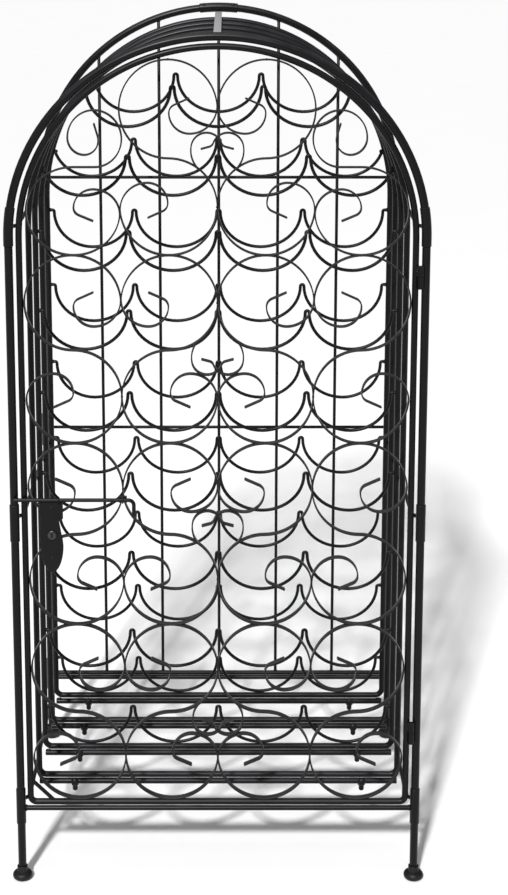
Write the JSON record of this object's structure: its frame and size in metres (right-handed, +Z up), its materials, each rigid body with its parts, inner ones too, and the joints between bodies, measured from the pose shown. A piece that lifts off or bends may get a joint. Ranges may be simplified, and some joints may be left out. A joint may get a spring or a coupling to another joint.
{
  "type": "wine rack",
  "caption": "Arched free-standing black steel wine rack with wavy wire bottle cradles and a lockable scrollwork door hinged on the right.",
  "frame": {"origin": "on the floor, midway between the four feet", "axes": "-Y towards the door and the user, +X to the right as seen from the door side, where the hinges are, +Z up"},
  "size_m": [0.4862, 0.3832, 1.0101],
  "materials": {
    "frame_coat": "black powder coat, satin",
    "wire_coat": "black powder coat, satin",
    "scroll_coat": "black powder coat, satin",
    "latch_coat": "black powder coat, satin",
    "strap": "light grey coat, satin",
    "foot": "moulded black plastic",
    "lock": "dull zinc plate"
  },
  "bodies": {
    "rack": {"back_apex_sleeve": "frame_coat", "back_arch_left": "frame_coat", "back_arch_right": "frame_coat", "back_bottom_bar": "frame_coat", "back_cradle_row_1": "wire_coat", "back_cradle_row_2": "wire_coat", "back_cradle_row_3": "wire_coat", "back_cradle_row_4": "wire_coat", "back_cradle_row_5": "wire_coat", "back_cradle_row_6": "wire_coat", "back_cradle_row_7": "wire_coat", "back_cradle_row_8": "wire_coat", "back_cradle_row_9": "wire_coat", "back_foot_left": "foot", "back_foot_right": "foot", "back_grille": "wire_coat", "back_lower_leg_left": "frame_coat", "back_lower_leg_right": "frame_coat", "back_upper_leg_left": "frame_coat", "back_upper_leg_right": "frame_coat", "front_arch": "frame_coat", "front_bottom_bar": "frame_coat", "front_cradle_row_1": "wire_coat", "front_cradle_row_2": "wire_coat", "front_cradle_row_3": "wire_coat", "front_cradle_row_4": "wire_coat", "front_cradle_row_5": "wire_coat", "front_cradle_row_6": "wire_coat", "front_cradle_row_7": "wire_coat", "front_cradle_row_8": "wire_coat", "front_cradle_row_9": "wire_coat", "front_foot_left": "foot", "front_foot_right": "foot", "front_lower_leg_left": "frame_coat", "front_lower_leg_right": "frame_coat", "front_upper_leg_left": "frame_coat", "front_upper_leg_right": "frame_coat", "hinge_pin_lower": "frame_coat", "hinge_pin_upper": "frame_coat", "hoop_1": "frame_coat", "hoop_1_lower_bar": "frame_coat", "hoop_2": "frame_coat", "hoop_2_lower_bar": "frame_coat", "hoop_3": "frame_coat", "hoop_3_lower_bar": "frame_coat", "hoop_4": "frame_coat", "hoop_4_lower_bar": "frame_coat", "side_rail_lower_left": "wire_coat", "side_rail_lower_right": "wire_coat", "side_rail_middle_left": "wire_coat", "side_rail_middle_right": "wire_coat", "side_rail_upper_left": "wire_coat", "side_rail_upper_right": "wire_coat", "top_strap": "strap"},
    "door": {"door_frame": "frame_coat", "door_scrollwork": "scroll_coat", "lock_plate": "latch_coat"},
    "latch": {"latch_bolt": "latch_coat"},
    "cylinder": {"lock_cylinder": "lock"}
  },
  "joints": [
    {"name": "door_hinge", "type": "hinge", "parent": "rack", "child": "door", "pos_m": [0.22501, -0.18549, 0.45], "axis": [0, 0, 1], "range_deg": [0, 170]},
    {"name": "latch_slide", "type": "slide", "parent": "door", "child": "latch", "axis": [1, 0, 0], "range_m": [0, 0.02]},
    {"name": "lock_turn", "type": "hinge", "parent": "door", "child": "cylinder", "pos_m": [-0.1886, -0.1868, 0.4298], "axis": [0, -1, 0], "range_deg": [0, 90]}
  ]
}
